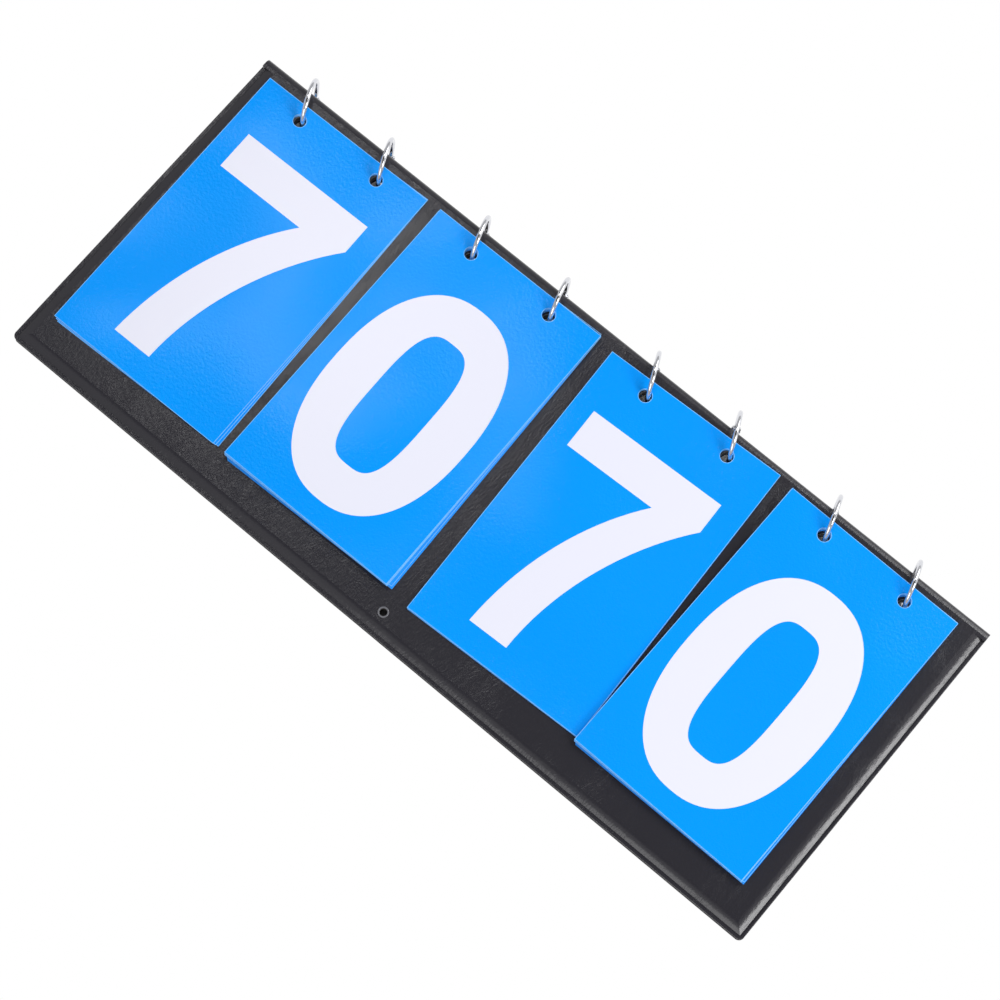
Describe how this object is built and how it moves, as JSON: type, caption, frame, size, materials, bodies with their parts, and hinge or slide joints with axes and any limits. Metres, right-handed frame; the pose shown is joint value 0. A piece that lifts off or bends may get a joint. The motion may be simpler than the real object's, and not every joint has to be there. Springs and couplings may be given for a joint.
{
  "type": "flip scoreboard",
  "caption": "Folding tabletop scoreboard with sets of number cards that flip over on metal book rings.",
  "frame": {"origin": "middle of the tie hole, at half the front panel's thickness", "axes": "+X along the length to the right, +Y from the standing edge to the fold, +Z out of the front face"},
  "size_m": [0.38, 0.1672, 0.023],
  "materials": {
    "black_leathercloth": "fine grain, semi-matte",
    "black_lining": "fine grain, semi-matte",
    "chipboard": "raw",
    "blue_card": "glossy coated",
    "nickel": "polished"
  },
  "bodies": {
    "front_panel": {"front_cover": "black_leathercloth", "front_chipboard": "chipboard", "front_lining": "black_lining", "fold_cover": "black_leathercloth", "set_2_pile": "blue_card", "set_4_pile": "blue_card"},
    "rear_panel": {"rear_cover": "black_leathercloth", "rear_chipboard": "chipboard", "rear_lining": "black_lining", "fold_lining": "black_lining", "set_1_turned_cards": "blue_card", "set_3_turned_cards": "blue_card"},
    "set_1_card_7": {"set_1_card_7": "blue_card"},
    "set_1_card_8": {"set_1_card_8": "blue_card"},
    "set_1_card_9": {"set_1_card_9": "blue_card"},
    "ring_1": {"ring_1_fixed_half": "nickel", "ring_1_rivet": "nickel"},
    "ring_1_gate": {"ring_1_swinging_half": "nickel"},
    "ring_2": {"ring_2_fixed_half": "nickel", "ring_2_rivet": "nickel"},
    "ring_2_gate": {"ring_2_swinging_half": "nickel"},
    "set_2_card_0": {"set_2_card_0": "blue_card"},
    "set_2_card_1": {"set_2_card_1": "blue_card"},
    "set_2_card_2": {"set_2_card_2": "blue_card"},
    "ring_3": {"ring_3_fixed_half": "nickel", "ring_3_rivet": "nickel"},
    "ring_3_gate": {"ring_3_swinging_half": "nickel"},
    "ring_4": {"ring_4_fixed_half": "nickel", "ring_4_rivet": "nickel"},
    "ring_4_gate": {"ring_4_swinging_half": "nickel"},
    "set_3_card_7": {"set_3_card_7": "blue_card"},
    "set_3_card_8": {"set_3_card_8": "blue_card"},
    "set_3_card_9": {"set_3_card_9": "blue_card"},
    "ring_5": {"ring_5_fixed_half": "nickel", "ring_5_rivet": "nickel"},
    "ring_5_gate": {"ring_5_swinging_half": "nickel"},
    "ring_6": {"ring_6_fixed_half": "nickel", "ring_6_rivet": "nickel"},
    "ring_6_gate": {"ring_6_swinging_half": "nickel"},
    "set_4_card_0": {"set_4_card_0": "blue_card"},
    "set_4_card_1": {"set_4_card_1": "blue_card"},
    "set_4_card_2": {"set_4_card_2": "blue_card"},
    "ring_7": {"ring_7_fixed_half": "nickel", "ring_7_rivet": "nickel"},
    "ring_7_gate": {"ring_7_swinging_half": "nickel"},
    "ring_8": {"ring_8_fixed_half": "nickel", "ring_8_rivet": "nickel"},
    "ring_8_gate": {"ring_8_swinging_half": "nickel"}
  },
  "joints": [
    {"name": "fold", "type": "hinge", "parent": "rear_panel", "child": "front_panel", "pos_m": [0, 0.1462, -0.0015], "axis": [-1, 0, 0], "range_deg": [0, 35]},
    {"name": "flip_set_1_card_7", "type": "hinge", "parent": "front_panel", "child": "set_1_card_7", "pos_m": [-0.13985, 0.1459, -0.0015], "axis": [-0.9999, -0.0122, 0], "range_deg": [0, 180]},
    {"name": "flip_set_1_card_8", "type": "hinge", "parent": "front_panel", "child": "set_1_card_8", "pos_m": [-0.13985, 0.1459, -0.0015], "axis": [-0.9999, -0.0122, 0], "range_deg": [0, 111.61]},
    {"name": "flip_set_1_card_9", "type": "hinge", "parent": "front_panel", "child": "set_1_card_9", "pos_m": [-0.13985, 0.1459, -0.0015], "axis": [-0.9999, -0.0122, 0], "range_deg": [0, 54.01]},
    {"name": "turn_ring_1", "type": "hinge", "parent": "front_panel", "child": "ring_1", "pos_m": [-0.16027, 0.13535, -0.0015], "axis": [0, 0, 1], "range_deg": [-23.01, 0]},
    {"name": "open_ring_1", "type": "hinge", "parent": "ring_1", "child": "ring_1_gate", "pos_m": [-0.16683, 0.1503, -0.0101], "axis": [0.9157, 0.4019, 0], "range_deg": [-60, 0]},
    {"name": "turn_ring_2", "type": "hinge", "parent": "front_panel", "child": "ring_2", "pos_m": [-0.11918, 0.13586, -0.0015], "axis": [0, 0, 1], "range_deg": [-23.01, 0]},
    {"name": "open_ring_2", "type": "hinge", "parent": "ring_2", "child": "ring_2_gate", "pos_m": [-0.12573, 0.1508, -0.0101], "axis": [0.9157, 0.4019, 0], "range_deg": [-60, 0]},
    {"name": "flip_set_2_card_0", "type": "hinge", "parent": "front_panel", "child": "set_2_card_0", "pos_m": [-0.04775, 0.1453, -0.0015], "axis": [-1, -0.0061, 0], "range_deg": [0, 180]},
    {"name": "flip_set_2_card_1", "type": "hinge", "parent": "front_panel", "child": "set_2_card_1", "pos_m": [-0.04775, 0.1453, -0.0015], "axis": [-1, -0.0061, 0], "range_deg": [0, 111.61]},
    {"name": "flip_set_2_card_2", "type": "hinge", "parent": "front_panel", "child": "set_2_card_2", "pos_m": [-0.04775, 0.1453, -0.0015], "axis": [-1, -0.0061, 0], "range_deg": [0, 54.01]},
    {"name": "turn_ring_3", "type": "hinge", "parent": "front_panel", "child": "ring_3", "pos_m": [-0.06824, 0.13488, -0.0015], "axis": [0, 0, 1], "range_deg": [-19.01, 0]},
    {"name": "open_ring_3", "type": "hinge", "parent": "ring_3", "child": "ring_3_gate", "pos_m": [-0.07364, 0.15028, -0.0101], "axis": [0.9435, 0.3313, 0], "range_deg": [-60, 0]},
    {"name": "turn_ring_4", "type": "hinge", "parent": "front_panel", "child": "ring_4", "pos_m": [-0.02714, 0.13513, -0.0015], "axis": [0, 0, 1], "range_deg": [-16.01, 0]},
    {"name": "open_ring_4", "type": "hinge", "parent": "ring_4", "child": "ring_4_gate", "pos_m": [-0.03173, 0.15079, -0.0101], "axis": [0.9596, 0.2815, 0], "range_deg": [-60, 0]},
    {"name": "flip_set_3_card_7", "type": "hinge", "parent": "front_panel", "child": "set_3_card_7", "pos_m": [0.04435, 0.147, -0.0015], "axis": [-0.9992, -0.0401, 0], "range_deg": [0, 180]},
    {"name": "flip_set_3_card_8", "type": "hinge", "parent": "front_panel", "child": "set_3_card_8", "pos_m": [0.04435, 0.147, -0.0015], "axis": [-0.9992, -0.0401, 0], "range_deg": [0, 111.61]},
    {"name": "flip_set_3_card_9", "type": "hinge", "parent": "front_panel", "child": "set_3_card_9", "pos_m": [0.04435, 0.147, -0.0015], "axis": [-0.9992, -0.0401, 0], "range_deg": [0, 54.01]},
    {"name": "turn_ring_5", "type": "hinge", "parent": "front_panel", "child": "ring_5", "pos_m": [0.02423, 0.13589, -0.0015], "axis": [0, 0, 1], "range_deg": [-23.01, 0]},
    {"name": "open_ring_5", "type": "hinge", "parent": "ring_5", "child": "ring_5_gate", "pos_m": [0.01726, 0.15064, -0.0101], "axis": [0.9041, 0.4274, 0], "range_deg": [-60, 0]},
    {"name": "turn_ring_6", "type": "hinge", "parent": "front_panel", "child": "ring_6", "pos_m": [0.0653, 0.13754, -0.0015], "axis": [0, 0, 1], "range_deg": [-23.01, 0]},
    {"name": "open_ring_6", "type": "hinge", "parent": "ring_6", "child": "ring_6_gate", "pos_m": [0.05832, 0.15229, -0.0101], "axis": [0.9041, 0.4274, 0], "range_deg": [-60, 0]},
    {"name": "flip_set_4_card_0", "type": "hinge", "parent": "front_panel", "child": "set_4_card_0", "pos_m": [0.13645, 0.1452, -0.0015], "axis": [-0.9999, 0.014, 0], "range_deg": [0, 180]},
    {"name": "flip_set_4_card_1", "type": "hinge", "parent": "front_panel", "child": "set_4_card_1", "pos_m": [0.13645, 0.1452, -0.0015], "axis": [-0.9999, 0.014, 0], "range_deg": [0, 111.61]},
    {"name": "flip_set_4_card_2", "type": "hinge", "parent": "front_panel", "child": "set_4_card_2", "pos_m": [0.13645, 0.1452, -0.0015], "axis": [-0.9999, 0.014, 0], "range_deg": [0, 54.01]},
    {"name": "turn_ring_7", "type": "hinge", "parent": "front_panel", "child": "ring_7", "pos_m": [0.11576, 0.13519, -0.0015], "axis": [0, 0, 1], "range_deg": [-19.01, 0]},
    {"name": "open_ring_7", "type": "hinge", "parent": "ring_7", "child": "ring_7_gate", "pos_m": [0.11066, 0.15069, -0.0101], "axis": [0.95, 0.3123, 0], "range_deg": [-60, 0]},
    {"name": "turn_ring_8", "type": "hinge", "parent": "front_panel", "child": "ring_8", "pos_m": [0.15685, 0.13462, -0.0015], "axis": [0, 0, 1], "range_deg": [-19.01, 0]},
    {"name": "open_ring_8", "type": "hinge", "parent": "ring_8", "child": "ring_8_gate", "pos_m": [0.15176, 0.15012, -0.0101], "axis": [0.95, 0.3123, 0], "range_deg": [-60, 0]}
  ],
  "couplings": [
    {"joint": "flip_set_1_card_8", "follows": "flip_set_1_card_7", "ratio": 0.62},
    {"joint": "flip_set_1_card_9", "follows": "flip_set_1_card_7", "ratio": 0.3},
    {"joint": "turn_ring_1", "follows": "flip_set_1_card_7", "ratio": -0.12778},
    {"joint": "turn_ring_2", "follows": "flip_set_1_card_7", "ratio": -0.12778},
    {"joint": "flip_set_2_card_1", "follows": "flip_set_2_card_0", "ratio": 0.62},
    {"joint": "flip_set_2_card_2", "follows": "flip_set_2_card_0", "ratio": 0.3},
    {"joint": "turn_ring_3", "follows": "flip_set_2_card_0", "ratio": -0.10556},
    {"joint": "turn_ring_4", "follows": "flip_set_2_card_0", "ratio": -0.088889},
    {"joint": "flip_set_3_card_8", "follows": "flip_set_3_card_7", "ratio": 0.62},
    {"joint": "flip_set_3_card_9", "follows": "flip_set_3_card_7", "ratio": 0.3},
    {"joint": "turn_ring_5", "follows": "flip_set_3_card_7", "ratio": -0.12778},
    {"joint": "turn_ring_6", "follows": "flip_set_3_card_7", "ratio": -0.12778},
    {"joint": "flip_set_4_card_1", "follows": "flip_set_4_card_0", "ratio": 0.62},
    {"joint": "flip_set_4_card_2", "follows": "flip_set_4_card_0", "ratio": 0.3},
    {"joint": "turn_ring_7", "follows": "flip_set_4_card_0", "ratio": -0.10556},
    {"joint": "turn_ring_8", "follows": "flip_set_4_card_0", "ratio": -0.10556}
  ]
}
